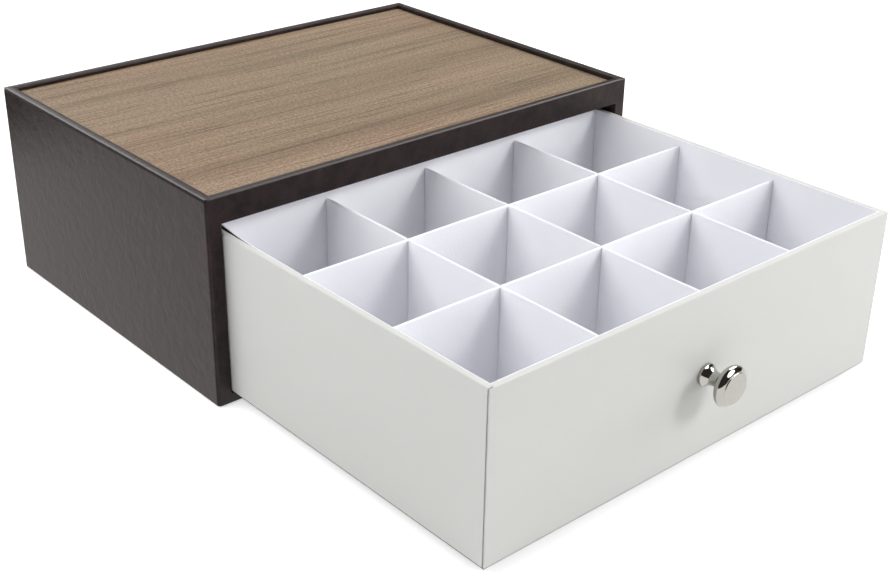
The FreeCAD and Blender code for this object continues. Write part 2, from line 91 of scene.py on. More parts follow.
def add(nodes, kind, **values):
    """A shader node with its properties, or its input sockets where the name is one of those."""
    made = nodes.new("ShaderNode" + kind)
    for name, value in values.items():
        socket = name.replace("_", " ").title()
        if socket in made.inputs:
            made.inputs[socket].default_value = value
        else:
            setattr(made, name, value)
    return made


def ramp(nodes, first, last, starts=0.0, ends=1.0):
    """A colour ramp from the first colour, at starts, to the last one, at ends."""
    made = add(nodes, "ValToRGB")
    low_stop, high_stop = made.color_ramp.elements
    low_stop.position, high_stop.position = starts, ends
    low_stop.color, high_stop.color = (*first, 1), (*last, 1)
    return made


table_corners = np.array([(-1, -1, 0), (1, -1, 0), (1, 1, 0), (-1, 1, 0)]) * FLOOR_REACH
table_top = mesh_object("table_top", table_corners, [(0, 1, 2, 3)])
pale_table, nodes, join, shader = new_finish("pale_table")
place = add(nodes, "TexCoord")
cloud = add(nodes, "TexNoise", scale=3.0, detail=2.0)
tone = ramp(nodes, (0.80, 0.80, 0.80), (0.84, 0.84, 0.84))
join(place.outputs["Object"], cloud.inputs["Vector"])
join(cloud.outputs["Fac"], tone.inputs["Fac"])
join(tone.outputs["Color"], shader.inputs["Base Color"])
shader.inputs["Roughness"].default_value = 0.9
shader.inputs["Specular IOR Level"].default_value = 0.1

# seen directly the floor glows to white
glow = add(nodes, "Emission", strength=FLOOR_GLOW)
bright = add(nodes, "AddShader")
ray = add(nodes, "LightPath")
plain = add(nodes, "MixShader")
join(shader.outputs["BSDF"], bright.inputs[0])
join(glow.outputs["Emission"], bright.inputs[1])
join(ray.outputs["Is Camera Ray"], plain.inputs["Fac"])
join(shader.outputs["BSDF"], plain.inputs[1])
join(bright.outputs["Shader"], plain.inputs[2])

# in a mirror it is a white sheet that ends a little way behind the box
rearward = add(nodes, "SeparateXYZ")
sheet_end = add(nodes, "MapRange", interpolation_type="SMOOTHSTEP", from_min=SHEET_FADES, from_max=SHEET_ENDS,
                to_min=SHEET_BRIGHT, to_max=SHEET_DARK)
sheet = add(nodes, "Emission", color=(1.0, 0.975, 0.96, 1))
mirrored = add(nodes, "MixShader")
join(place.outputs["Object"], rearward.inputs["Vector"])
join(rearward.outputs["Y"], sheet_end.inputs["Value"])
join(sheet_end.outputs["Result"], sheet.inputs["Strength"])
join(ray.outputs["Is Glossy Ray"], mirrored.inputs["Fac"])
join(plain.outputs["Shader"], mirrored.inputs[1])
join(sheet.outputs["Emission"], mirrored.inputs[2])
join(mirrored.outputs["Shader"], nodes["Material Output"].inputs["Surface"])
table_top.data.materials.append(pale_table)

# patches of the room: the way to each, and the cosines at which it begins and is full
REAR_WALL = ((-0.1, 0.9, -0.3), 0.49, 0.64)
RIGHT_WALL = ((0.90, 0.26, 0.35), 0.88, 0.97)
SOFTBOXES = (
    ((0.63, 0.14, 0.76), 0.90, 0.95),
    ((0.42, 0.52, 0.74), 0.98, 0.993),
    ((0.13, 0.80, 0.58), 0.96, 0.99),
    ((0.32, -0.74, 0.60), 0.93, 0.97),
)

room = bpy.data.worlds.new("room")
room.use_nodes = True
bpy.context.scene.world = room
nodes, join = room.node_tree.nodes, room.node_tree.links.new
ray = add(nodes, "LightPath")
walls = nodes["Background"]
walls.inputs["Color"].default_value = (1, 1, 1, 1)
walls.inputs["Strength"].default_value = 0.30
white = add(nodes, "Background", color=(1, 1, 1, 1), strength=1.0)
dim = add(nodes, "Background", color=(1, 0.80, 0.76, 1), strength=0.045)
softbox = add(nodes, "Background", color=(1, 1, 1, 1), strength=6.5)
way = add(nodes, "TexCoord")


def towards(direction, begins, full):
    """Share of a patch of the room: the cosine to its direction, eased from 0 at begins to 1 at full."""
    along = add(nodes, "VectorMath", operation="DOT_PRODUCT")
    along.inputs[1].default_value = direction
    patch = add(nodes, "MapRange", interpolation_type="SMOOTHSTEP", from_min=begins, from_max=full)
    join(way.outputs["Generated"], along.inputs[0])
    join(along.outputs["Value"], patch.inputs["Value"])
    return patch.outputs["Result"]


def layered(share, under, over):
    """A share of one background over another."""
    layer = add(nodes, "MixShader")
    join(share, layer.inputs["Fac"])
    join(under, layer.inputs[1])
    join(over, layer.inputs[2])
    return layer.outputs["Shader"]


mirrored = layered(towards(*REAR_WALL), dim.outputs["Background"], white.outputs["Background"])
mirrored = layered(towards(*RIGHT_WALL), mirrored, walls.outputs["Background"])
for patch in SOFTBOXES:
    mirrored = layered(towards(*patch), mirrored, softbox.outputs["Background"])
sky = layered(ray.outputs["Is Glossy Ray"], walls.outputs["Background"], mirrored)
sky = layered(ray.outputs["Is Camera Ray"], sky, white.outputs["Background"])
join(sky, nodes["World Output"].inputs["Surface"])


def add_lamp(name, stand, aim, width, power):
    """A square soft lamp of that width at stand, turned to face aim, and unseen in mirrors."""
    lamp = bpy.data.objects.new(name, bpy.data.lights.new(name, "AREA"))
    lamp.data.size = width
    lamp.data.energy = power
    direction = np.array(aim) - np.array(stand)
    lamp.location = stand
    lamp.rotation_mode = "QUATERNION"
    lamp.rotation_quaternion = Vector(direction.tolist()).to_track_quat("-Z", "Y")
    lamp.visible_glossy = False
    bpy.context.collection.objects.link(lamp)


BOX_MIDDLE, DRAWER_MIDDLE = (0.0, -0.1, 0.05), (0.0, -0.2, 0.05)
add_lamp("top_lamp", (0.5, 0.35, 1.0), BOX_MIDDLE, width=1.0, power=2.2)
add_lamp("key_lamp", (0.8, -1.6, 1.1), DRAWER_MIDDLE, width=0.7, power=15.5)
add_lamp("right_lamp", (1.45, -0.75, 0.55), DRAWER_MIDDLE, width=0.8, power=13.0)
add_lamp("left_bounce", (-0.9, 0.2, 1.0), BOX_MIDDLE, width=1.2, power=13.0)


# Case boards. Two sides, the back, a rail over the opening, a top board and a bottom board, of
# brown fibreboard, rebated and glued into one sleeve. The coverings hide nearly all of it.


def fibrous(name, dark, light, noise, nap, matt, starts=0.0, ends=1.0, sheen=0.0):
    """Board, felt or paper: one fine noise tints it from dark to light and lifts its nap."""
    finish, nodes, join, shader = new_finish(name)
    place = add(nodes, "TexCoord")
    fibres = add(nodes, "TexNoise", **noise)
    tone = ramp(nodes, dark, light, starts, ends)
    raised = add(nodes, "Bump", **nap)
    join(place.outputs["Object"], fibres.inputs["Vector"])
    join(fibres.outputs["Fac"], tone.inputs["Fac"])
    join(tone.outputs["Color"], shader.inputs["Base Color"])
    join(fibres.outputs["Fac"], raised.inputs["Height"])
    join(raised.outputs["Normal"], shader.inputs["Normal"])
    shader.inputs["Roughness"].default_value = matt
    shader.inputs["Sheen Weight"].default_value = sheen
    return finish


def dress(finish, *names):
    """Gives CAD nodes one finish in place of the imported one."""
    for name in names:
        cad_node[name].data.materials.clear()
        cad_node[name].data.materials.append(finish)


fibreboard = fibrous("fibreboard", (0.36, 0.25, 0.16), (0.62, 0.48, 0.34), starts=0.3, ends=0.7, matt=0.85,
                     noise=dict(scale=900.0, detail=4.0, roughness=0.7), nap=dict(strength=0.3, distance=0.0002))
dress(fibreboard, "case_left_side", "case_right_side", "case_back_board", "case_front_rail",
      "case_top_board", "case_bottom_board")


# Case coverings. Dark brown leatherette on a cloth back: one strip goes round the left, the back
# and the right, and a sheet with an opening covers the front. Both are turned over the rim.

CASE_X, CASE_Y = 0.160, 0.116
CASE_TOP, CASE_FOOT = 0.125, 0.0006
LEATHER = 0.0008
RIM = 0.0056
CREST = 0.0022
OUTER_FALL, INNER_FALL = 0.0005, 0.0004
PANEL_FOOT = 0.119
# a crease pressed in just under the outer edge: how deep, and its foot, bottom and head below the top
CREASE = 0.0007
CREASE_FOOT, CREASE_BOTTOM, CREASE_HEAD = 0.0020, 0.0010, 0.0009
# the leather's underside below the top: at the panel, at the crease and in front; its way in at the crease
RIM_UNDERSIDE, CREASE_UNDERSIDE, FRONT_UNDERSIDE = 0.0016, 0.0013, 0.0010
CREASE_INSIDE = 0.0006
# radii: a bare edge, the crease, a step of the crown, a cut edge, the foot, the inner edge by the panel,
# the case's rear corner
BARE, CREASE_BEND, CROWN_STEP, CUT = 0.00002, 0.00005, 0.0002, 0.0003
FOOT_FOLD, INNER_EDGE, REAR_CORNER = 0.0009, 0.0010, 0.0012
# the strip's ends stand this far behind the front's leather, and curve in by this radius to meet it
STRIP_GAP, NOSE = 0.0002, 0.002


def rounded_loop(corners):
    """A closed outline from corners of two places and a radius. Each turns into a quarter round: the
    corner, plus the way back times r (1 - sin), plus the way on times r (1 - cos), and a point of
    support half a radius before and after it."""
    corners = np.array(corners, float)
    places, radii = corners[:, :2], corners[:, 2, None, None]
    back = np.roll(places, 1, 0) - places
    on = np.roll(places, -1, 0) - places
    back /= np.linalg.norm(back, axis=1)[:, None]
    on /= np.linalg.norm(on, axis=1)[:, None]
    turn = np.linspace(0, np.pi / 2, 6)
    away_back = np.concatenate(([1.5], 1 - np.sin(turn), [0]))[:, None]
    away_on = np.concatenate(([0], 1 - np.cos(turn), [1.5]))[:, None]
    loop = places[:, None] + back[:, None] * radii * away_back + on[:, None] * radii * away_on
    return loop.reshape(-1, 2)


def lofted(rings, closed=False):
    """A skin over a row of equal closed loops: each quad joins two neighbours of one loop to the same
    two of the next. An open row gets its end loops as lids. The faces are turned round where the
    volume, the sum of the products a x b . c over the triangles, comes out negative."""
    rows, columns = rings.shape[:2]
    index = np.arange(rows * columns).reshape(rows, columns)
    here, ahead = (index, np.roll(index, -1, 0)) if closed else (index[:-1], index[1:])
    quads = np.stack((here, ahead, np.roll(ahead, -1, 1), np.roll(here, -1, 1)), -1).reshape(-1, 4)
    points = rings.reshape(-1, 3)
    a, b, c, d = (points[quads[:, k]] for k in range(4))
    volume = (np.cross(a, b) * c).sum() + (np.cross(a, c) * d).sum()
    faces = quads.tolist()
    if not closed:
        for lid in (index[0], index[-1, ::-1]):
            faces.append(lid.tolist())
            p = points[lid]
            volume += (np.cross(np.broadcast_to(p[0], p[1:-1].shape), p[1:-1]) * p[2:]).sum()
    if volume < 0:
        faces = [face[::-1] for face in faces]
    return points, faces


def joined(*solids):
    """Several skins as one: their points one after the other, and the faces' numbers moved on to match."""
    points, faces, first = [], [], 0
    for more, its_faces in solids:
        points.append(more)
        faces += [[first + number for number in face] for face in its_faces]
        first += len(more)
    return np.concatenate(points), faces


def round_three_walls(section, half_x, front_y, back_y, corner, nose=0.0, nose_y=0.0):
    """A section of depth and height carried round left, back and right. A point at depth d runs on a
    rectangle smaller by d, whose rear corners have the radius corner - d: the corner's centre plus
    that radius times the outward direction. In front the walls curve in by
    nose - sqrt(nose^2 - (nose - s)^2), s behind nose_y."""
    depth, height = section[:, 0], section[:, 1]
    sharpest = 0.00004
    bend = np.maximum(corner - depth, sharpest)
    near_front, near_back = [0, 0.0008, 0.0016, 0.0024, 0.004, 0.006, 0.01], [0.998, 1]
    run = np.concatenate((near_front, np.linspace(0.05, 0.95, 19), near_back))
    quarter = np.linspace(np.pi, np.pi / 2, 7)[1:-1]
    one, still = np.ones_like(run), np.ones_like(quarter)
    side = np.concatenate((-one, -still, run * 2 - 1, still, one))
    rearward = np.concatenate((run, still, one, still, run[::-1]))
    out_x = np.concatenate((-one, np.cos(quarter), 0 * run, -np.cos(quarter)[::-1], one))
    out_y = np.concatenate((0 * run, np.sin(quarter), one, np.sin(quarter)[::-1], 0 * run))
    x = side[:, None] * (half_x - depth - bend) + out_x[:, None] * bend
    centre_y = front_y + rearward[:, None] * (back_y - depth - bend - front_y)
    y = centre_y + out_y[:, None] * bend
    short = np.clip(nose - (y - nose_y), 0, nose)
    x = x - np.sign(x) * (nose - np.sqrt(nose ** 2 - short ** 2))
    return np.stack((x, y, np.broadcast_to(height, x.shape)), -1)


def crown(depth):
    """Height of the rim's top at a depth from its outer edge: it falls with the square of the way from
    the crest, by one amount to the outer edge and by another to the inner one."""
    outer = np.clip(1 - depth / CREST, 0, 1)
    inner = np.clip((depth - CREST) / (RIM - CREST), 0, 1)
    return CASE_TOP - OUTER_FALL * outer ** 2 - INNER_FALL * inner ** 2


over = np.linspace(0, RIM, 9)[:-1]
strip_section = rounded_loop([
    (RIM - LEATHER, CASE_FOOT, CUT), (0, CASE_FOOT, FOOT_FOLD),
    (0, CASE_TOP - CREASE_FOOT, CUT), (CREASE, CASE_TOP - CREASE_BOTTOM, CREASE_BEND),
    (0, CASE_TOP - CREASE_HEAD, CROWN_STEP),
    *((depth, crown(depth), CROWN_STEP) for depth in over), (RIM, crown(RIM), INNER_EDGE),
    (RIM, PANEL_FOOT, CUT), (RIM - LEATHER, PANEL_FOOT, CUT),
    (RIM - LEATHER, CASE_TOP - RIM_UNDERSIDE, CUT),
    (LEATHER + CREASE_INSIDE, CASE_TOP - CREASE_UNDERSIDE, BARE),
    (LEATHER, CASE_FOOT + LEATHER, BARE), (RIM - LEATHER, CASE_FOOT + LEATHER, CUT)])
side_leather = mesh_object("side_leather", *lofted(round_three_walls(
    strip_section, CASE_X, LEATHER - CASE_Y + STRIP_GAP, CASE_Y, REAR_CORNER, NOSE, -CASE_Y)))


def ring_round(half_x, low, high, bend, y):
    """Rectangles with rounded corners, one for each section point: the corner's centre plus the radius
    times the outward direction, all the way round."""
    quarter = np.linspace(0, np.pi / 2, 6)
    turn = np.concatenate([quarter + k * np.pi / 2 for k in range(4)])
    diagonal = np.repeat(np.arange(4) * np.pi / 2 + np.pi / 4, len(quarter))
    right, upper = np.sign(np.cos(diagonal)), np.sign(np.sin(diagonal))
    x = right[:, None] * (half_x - bend) + np.cos(turn)[:, None] * bend
    z = (low + high) / 2 + upper[:, None] * ((high - low) / 2 - bend) + np.sin(turn)[:, None] * bend
    return np.stack((x, np.broadcast_to(y, x.shape), z), -1)


MOUTH_X, MOUTH_LOW, MOUTH_HIGH = 0.1509, 0.0069, 0.1092
SLEEVE_BACK = -0.101
SLEEVE_LEAD = 0.0002
MOUTH_EDGE, FOOT_EDGE = 0.0007, 0.0008
MOUTH_CORNER, FACE_CORNER = 0.0004, 0.0008
# the face is flat from this far outside the mouth to this far from the case's side and top
FLAT_FROM, FLAT_SIDE, FLAT_TOP = 0.0012, 0.0024, 0.0014
turn = np.linspace(0, np.pi / 2, 6)
# the turned-in sleeve from its end to the face: three points along it, a quarter round, and the face
mouth_out = np.concatenate(([0, 0, 0], MOUTH_EDGE * (1 - np.cos(turn)), [FLAT_FROM]))
mouth_y = np.concatenate(([SLEEVE_BACK, SLEEVE_BACK - SLEEVE_LEAD, FLAT_FROM - CASE_Y],
                          -CASE_Y + MOUTH_EDGE * (1 - np.sin(turn)), [-CASE_Y]))
# the face's round outer edge: how far behind the face, and how far in from the side, foot and top
nose_turn = np.linspace(0, np.arccos(1 - LEATHER / NOSE), 8)
behind = NOSE * (1 - np.cos(nose_turn))
side_in = NOSE * (1 - np.sin(nose_turn))
foot_in, top_in = (r - np.sqrt(r ** 2 - np.clip(r - behind, 0, r) ** 2) for r in (FOOT_EDGE, CUT))
top_in = top_in + CASE_TOP - crown(behind)
# and back along the inside of the leather
inside_out = np.array([LEATHER, LEATHER])
face_and_sleeve = lofted(ring_round(
    np.concatenate((MOUTH_X + mouth_out, [CASE_X - FLAT_SIDE], CASE_X - side_in, MOUTH_X + inside_out)),
    np.concatenate((MOUTH_LOW - mouth_out, [CASE_FOOT + FLAT_FROM], CASE_FOOT + foot_in, MOUTH_LOW - inside_out)),
    np.concatenate((MOUTH_HIGH + mouth_out, [CASE_TOP - FLAT_TOP], CASE_TOP - top_in, MOUTH_HIGH + inside_out)),
    np.concatenate((MOUTH_CORNER + mouth_out, [MOUTH_CORNER], FACE_CORNER + 0 * behind, MOUTH_CORNER + inside_out)),
    np.concatenate((mouth_y, [-CASE_Y], behind - CASE_Y, [LEATHER - CASE_Y, SLEEVE_BACK]))), closed=True)


def carried_across(section, end):
    """A section of y and z carried along X from -end to end."""
    stations = np.linspace(-end, end, 20)
    x = np.broadcast_to(stations[:, None], (len(stations), len(section)))
    return np.stack((x, np.broadcast_to(section[:, 0], x.shape), np.broadcast_to(section[:, 1], x.shape)), -1)


over = np.linspace(LEATHER, RIM, 8)[1:-1]
over_rim = lofted(carried_across(rounded_loop([
    (LEATHER - CASE_Y, crown(LEATHER), BARE), *((depth - CASE_Y, crown(depth), CROWN_STEP) for depth in over),
    (RIM - CASE_Y, crown(RIM), INNER_EDGE), (RIM - CASE_Y, PANEL_FOOT, CUT),
    (RIM - LEATHER - CASE_Y, PANEL_FOOT, CUT), (RIM - LEATHER - CASE_Y, CASE_TOP - RIM_UNDERSIDE, CUT),
    (LEATHER - CASE_Y, CASE_TOP - FRONT_UNDERSIDE, BARE)]), CASE_X - CREST))
front_leather = mesh_object("front_leather", *joined(face_and_sleeve, over_rim))


def leatherette(name, dark, light, satin, gloss, cloud_size, grain, waviness):
    """Leatherette: soft clouds shift its colour and its satin, and a fine pebble grain over slow waves
    makes its bump."""
    finish, nodes, join, shader = new_finish(name)
    shader.inputs["Specular IOR Level"].default_value = gloss
    place = add(nodes, "TexCoord")
    clouds = add(nodes, "TexNoise", scale=cloud_size, detail=5.0, roughness=0.62, distortion=0.4)
    tone = ramp(nodes, dark, light, starts=0.32, ends=0.70)
    shine = add(nodes, "MapRange", to_min=satin - 0.05, to_max=satin + 0.07)
    pebbles = add(nodes, "TexVoronoi", scale=1500.0)
    waves = add(nodes, "TexNoise", scale=150.0, detail=5.0, distortion=0.6)
    slow = add(nodes, "Bump", strength=waviness, distance=0.0006)
    fine = add(nodes, "Bump", strength=grain, distance=0.0001)
    for texture in (clouds, pebbles, waves):
        join(place.outputs["Object"], texture.inputs["Vector"])
    join(clouds.outputs["Fac"], tone.inputs["Fac"])
    join(tone.outputs["Color"], shader.inputs["Base Color"])
    join(clouds.outputs["Fac"], shine.inputs["Value"])
    join(shine.outputs["Result"], shader.inputs["Roughness"])
    join(waves.outputs["Fac"], slow.inputs["Height"])
    join(slow.outputs["Normal"], fine.inputs["Normal"])
    join(pebbles.outputs["Distance"], fine.inputs["Height"])
    join(fine.outputs["Normal"], shader.inputs["Normal"])
    return finish


dark_leatherette = leatherette("dark_leatherette", (0.008, 0.0040, 0.0036), (0.028, 0.0160, 0.0140),
                               satin=0.35, gloss=0.25, cloud_size=110.0, grain=0.28, waviness=0.45)
for cover, covered in ((side_leather, "case_side_cover"), (front_leather, "case_front_cover")):
    cover.data.materials.append(dark_leatherette)
    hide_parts(covered)
    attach(cover, "case")


# Felt. A thin black felt sheet is glued under the case, over the turned-in ends of the leatherette,
# and keeps the case from marking the table.

black_felt = fibrous("black_felt", (0.010, 0.009, 0.009), (0.045, 0.042, 0.040), matt=1.0, sheen=0.2,
                     noise=dict(scale=2500.0, detail=3.0), nap=dict(strength=0.6, distance=0.0003))
dress(black_felt, "case_base_felt")


# Case lining. Dark paper glued to the walls, the floor and the ceiling inside the case, behind
# the leatherette that is turned in at the mouth. The drawer's base sheet gets the same dark paper
# as painted shade: its edge stands in for the contact shadow line along the drawer's bottom edges.

dark_paper = fibrous("dark_paper", (0.018, 0.016, 0.015), (0.050, 0.045, 0.042), matt=0.8,
                     noise=dict(scale=600.0, detail=4.0), nap=dict(strength=0.2, distance=0.0001))
# the drawer's base sheet is dark as painted shade, a painted contact shadow line under the drawer's bottom edges
dress(dark_paper, "case_wall_lining", "case_floor_lining", "case_ceiling_lining", "drawer_base_sheet")


# Walnut panel. A board veneered in grey-brown walnut, open-pored and satin, that lies on the top
# board inside the raised rim. Its grain runs from side to side.

# the Mix node's sockets for colours
FIRST_COLOUR, SECOND_COLOUR, MIXED_COLOUR = 6, 7, 2

walnut, nodes, join, shader = new_finish("walnut")
place = add(nodes, "TexCoord")
sway = add(nodes, "TexNoise", scale=5.0, detail=1.0)
lean = add(nodes, "VectorMath", operation="MULTIPLY_ADD")
lean.inputs[1].default_value = (0.0, 0.012, 0.0)
join(place.outputs["Object"], sway.inputs["Vector"])
join(sway.outputs["Color"], lean.inputs[0])
join(place.outputs["Object"], lean.inputs[2])


def along_grain(stretch, scale, detail, roughness):
    """Noise drawn out along X: stretch is how much longer than wide a streak is."""
    turned = add(nodes, "Mapping", scale=(1 / stretch, 1, 1))
    noise = add(nodes, "TexNoise", scale=scale, detail=detail, roughness=roughness)
    join(lean.outputs["Vector"], turned.inputs["Vector"])
    join(turned.outputs["Vector"], noise.inputs["Vector"])
    return noise.outputs["Fac"]


def stained(colour, noise, tone, share):
    """A colour multiplied by a share of the tone that the noise picks."""
    join(noise, tone.inputs["Fac"])
    mix = add(nodes, "Mix", data_type="RGBA", blend_type="MULTIPLY", factor=share)
    join(colour, mix.inputs[FIRST_COLOUR])
    join(tone.outputs["Color"], mix.inputs[SECOND_COLOUR])
    return mix.outputs[MIXED_COLOUR]


bands = along_grain(36.0, 60.0, 3.0, 0.5)
streaks = along_grain(85.0, 360.0, 1.5, 0.5)
pores = along_grain(2.2, 1050.0, 2.0, 0.65)
blush = along_grain(3.0, 14.0, 2.0, 0.5)

ground = ramp(nodes, (0.201, 0.146, 0.095), (0.309, 0.236, 0.161), starts=0.30, ends=0.68)
streak_tone = ramp(nodes, (1.0, 1.0, 1.0), (1.0, 1.0, 1.0), starts=0.470, ends=0.530)
thin_line = streak_tone.color_ramp.elements.new(0.5)
thin_line.color = (0.47, 0.42, 0.38, 1)
blush_tone = ramp(nodes, (0.97, 1.0, 0.97), (1.08, 0.97, 0.96), starts=0.35, ends=0.70)
pore_tone = ramp(nodes, (0.48, 0.44, 0.42), (1.20, 1.20, 1.20), starts=0.38, ends=0.62)

join(bands, ground.inputs["Fac"])
wood = stained(ground.outputs["Color"], streaks, streak_tone, 1.0)
wood = stained(wood, blush, blush_tone, 0.9)
wood = stained(wood, pores, pore_tone, 0.75)
join(wood, shader.inputs["Base Color"])

shine = add(nodes, "MapRange", to_min=0.62, to_max=0.48)
join(streaks, shine.inputs["Value"])
join(shine.outputs["Result"], shader.inputs["Roughness"])
shader.inputs["Specular IOR Level"].default_value = 0.22
open_pores = add(nodes, "Bump", strength=0.35, distance=0.00012)
join(pore_tone.outputs["Color"], open_pores.inputs["Height"])
join(open_pores.outputs["Normal"], shader.inputs["Normal"])
dress(walnut, "walnut_top_panel")


# Drawer boards. Front, back, sides and bottom of thick grey board, butted and glued, and hidden
# by the white leatherette outside and the papered cards inside.

grey_board = fibrous("grey_board", (0.24, 0.22, 0.20), (0.46, 0.44, 0.41), starts=0.3, ends=0.75, matt=0.9,
                     noise=dict(scale=700.0, detail=5.0, roughness=0.7), nap=dict(strength=0.3, distance=0.0001))
dress(grey_board, "drawer_front_board", "drawer_back_board", "drawer_left_board", "drawer_right_board",
      "drawer_bottom_board")


# Drawer coverings. Off-white leatherette, smooth and satin. One strip goes round left, back and
# right and is turned in over the top edge; one sheet covers the front and is turned in too, and
# its end shows as a fine line at the front corners.

WHITE_SKIN = 0.0005
DRAWER_X, DRAWER_FRONT, DRAWER_BACK = 0.1504, -0.3220, -0.0993
DRAWER_FOOT, DRAWER_TOP = 0.0076, 0.1032
WALL = 0.0034
TURN_IN = 0.012
SEAM = 0.0008
KNOB_Z = 0.0552
SCREW_HOLE, HOLE_ROUNDNESS = 0.0016, 0.97
SKIN_EDGE, SKIN_CORNER, SKIN_SHARPEST = 0.0004, 0.0006, 0.0001
# radii: a cut edge, the foot, the outer and the inner edge of the fold, the drawer's rear corner
SKIN_CUT, SKIN_FOOT, OUTER_FOLD, INNER_FOLD, DRAWER_CORNER = 0.0002, 0.0006, 0.0010, 0.0003, 0.0009
inner_skin = WALL - WHITE_SKIN

white_section = rounded_loop([
    (inner_skin, DRAWER_FOOT, SKIN_CUT), (0, DRAWER_FOOT, SKIN_FOOT), (0, DRAWER_TOP, OUTER_FOLD),
    (WALL, DRAWER_TOP, INNER_FOLD), (WALL, DRAWER_TOP - TURN_IN, SKIN_CUT),
    (inner_skin, DRAWER_TOP - TURN_IN, SKIN_CUT), (inner_skin, DRAWER_TOP - WHITE_SKIN, BARE),
    (WHITE_SKIN, DRAWER_TOP - WHITE_SKIN, BARE), (WHITE_SKIN, DRAWER_FOOT + WHITE_SKIN, BARE),
    (inner_skin, DRAWER_FOOT + WHITE_SKIN, SKIN_CUT)])
drawer_side_skin = mesh_object("drawer_side_skin", *lofted(round_three_walls(
    white_section, DRAWER_X, DRAWER_FRONT + WHITE_SKIN + SEAM, DRAWER_BACK, DRAWER_CORNER)))

# rings: the screw's hole, the face, a quarter round, and the back again
turn = np.linspace(0, np.pi / 2, 6)
edge_in = np.concatenate(([FLAT_FROM], SKIN_EDGE * (1 - np.sin(turn)), [0]))
edge_y = DRAWER_FRONT + np.concatenate(([0], SKIN_EDGE * (1 - np.cos(turn)), [WHITE_SKIN]))
white_face = lofted(ring_round(
    np.concatenate(([SCREW_HOLE] * 2, DRAWER_X - edge_in)),
    np.concatenate(([KNOB_Z - SCREW_HOLE] * 2, DRAWER_FOOT + edge_in)),
    np.concatenate(([KNOB_Z + SCREW_HOLE] * 2, DRAWER_TOP - edge_in)),
    np.concatenate(([SCREW_HOLE * HOLE_ROUNDNESS] * 2, np.maximum(SKIN_CORNER - edge_in, SKIN_SHARPEST))),
    np.concatenate(([DRAWER_FRONT + WHITE_SKIN, DRAWER_FRONT], edge_y))), closed=True)
white_over = lofted(carried_across(rounded_loop([
    (DRAWER_FRONT + WHITE_SKIN, DRAWER_TOP, BARE), (DRAWER_FRONT + WALL, DRAWER_TOP, INNER_FOLD),
    (DRAWER_FRONT + WALL, DRAWER_TOP - TURN_IN, SKIN_CUT),
    (DRAWER_FRONT + inner_skin, DRAWER_TOP - TURN_IN, SKIN_CUT),
    (DRAWER_FRONT + inner_skin, DRAWER_TOP - WHITE_SKIN, BARE),
    (DRAWER_FRONT + WHITE_SKIN, DRAWER_TOP - WHITE_SKIN, BARE)]), DRAWER_X - inner_skin))
drawer_front_skin = mesh_object("drawer_front_skin", *joined(white_face, white_over))

white_leatherette = leatherette("white_leatherette", (0.635, 0.635, 0.617), (0.647, 0.647, 0.629),
                                satin=0.45, gloss=0.5, cloud_size=30.0, grain=0.12, waviness=0.05)
for cover, covered in ((drawer_side_skin, "drawer_side_cover"), (drawer_front_skin, "drawer_front_cover")):
    cover.data.materials.append(white_leatherette)
    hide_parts(covered)
    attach(cover, "drawer")


# Liners. Cards papered white in front, with a dark back: a floor and four walls that line the
# drawer. The left one has sprung off the wall a little at its rear top corner.

CARD_FOOT = 0.0114
LINER_TOP = 0.1031
LINER = 0.0008
LINER_X = 0.1470
LINER_FRONT, LINER_BACK = -0.3186, -0.1027
CORNER_ROOM = 0.001
CARD_ROUNDING = 0.7
# the sprung corner: how far off the wall, and where it begins and how far it reaches along Y and Z
SPRUNG_OFF = 0.0026
SPRUNG_FROM, SPRUNG_REACH = (-0.142, 0.03), (0.038, 0.073)

white_paper, nodes, join, shader = new_finish("white_paper")
place = add(nodes, "TexCoord")
pulp = add(nodes, "TexNoise", scale=90.0, detail=3.0)
emboss = add(nodes, "TexNoise", scale=750.0, detail=3.0, roughness=0.6)
tone = ramp(nodes, (0.905, 0.905, 0.946), (0.920, 0.920, 0.960))
tooth = add(nodes, "Bump", strength=0.45, distance=0.0002)
join(place.outputs["Object"], pulp.inputs["Vector"])
join(place.outputs["Object"], emboss.inputs["Vector"])
join(pulp.outputs["Fac"], tone.inputs["Fac"])
join(tone.outputs["Color"], shader.inputs["Base Color"])
join(emboss.outputs["Fac"], tooth.inputs["Height"])
join(tooth.outputs["Normal"], shader.inputs["Normal"])
shader.inputs["Roughness"].default_value = 0.6


def card(along, low, high, half, lean):
    """A card's rings, one per place along it. Each runs up one face, over the rounded top and down the
    other: the face at -half or +half, the top corner its bend times (1 - cos) in and (1 - sin) down.
    lean gives how far the card's middle stands aside at a place and height. Comes out as place,
    aside, height."""
    bend = half * CARD_ROUNDING
    turn = np.linspace(0, np.pi / 2, 5)
    share = np.linspace(0, 1, 9)[:-1]
    aside = np.concatenate((-half + 0 * share, -half + bend * (1 - np.cos(turn))))
    rise = np.concatenate((share, 1 + 0 * turn))
    drop = np.concatenate((0 * share, bend * (1 - np.sin(turn))))
    aside = np.concatenate((aside, -aside[::-1]))
    rise, drop = np.concatenate((rise, rise[::-1])), np.concatenate((drop, drop[::-1]))
    low, high = (np.broadcast_to(edge, along.shape)[:, None] for edge in (low, high))
    height = low + rise * (high - low) - drop
    place = np.broadcast_to(along[:, None], height.shape)
    return np.stack((place, aside + lean(place, height), height), -1)


def finish_card(name, rings, covered, finishes, back=None):
    """A card from its rings: where back is given, faces whose normal has that sign along X get the
    second finish."""
    made = mesh_object(name, *lofted(rings))
    for finish in finishes:
        made.data.materials.append(finish)
    if back:
        normals = np.empty(len(made.data.polygons) * 3)
        made.data.polygons.foreach_get("normal", normals)
        turned_back = (normals.reshape(-1, 3)[:, 0] * back > 0.7).astype(np.int32)
        made.data.polygons.foreach_set("material_index", turned_back)
    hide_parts(covered)
    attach(made, "drawer")


def upright(along, height):
    """No lean at all."""
    return 0 * along


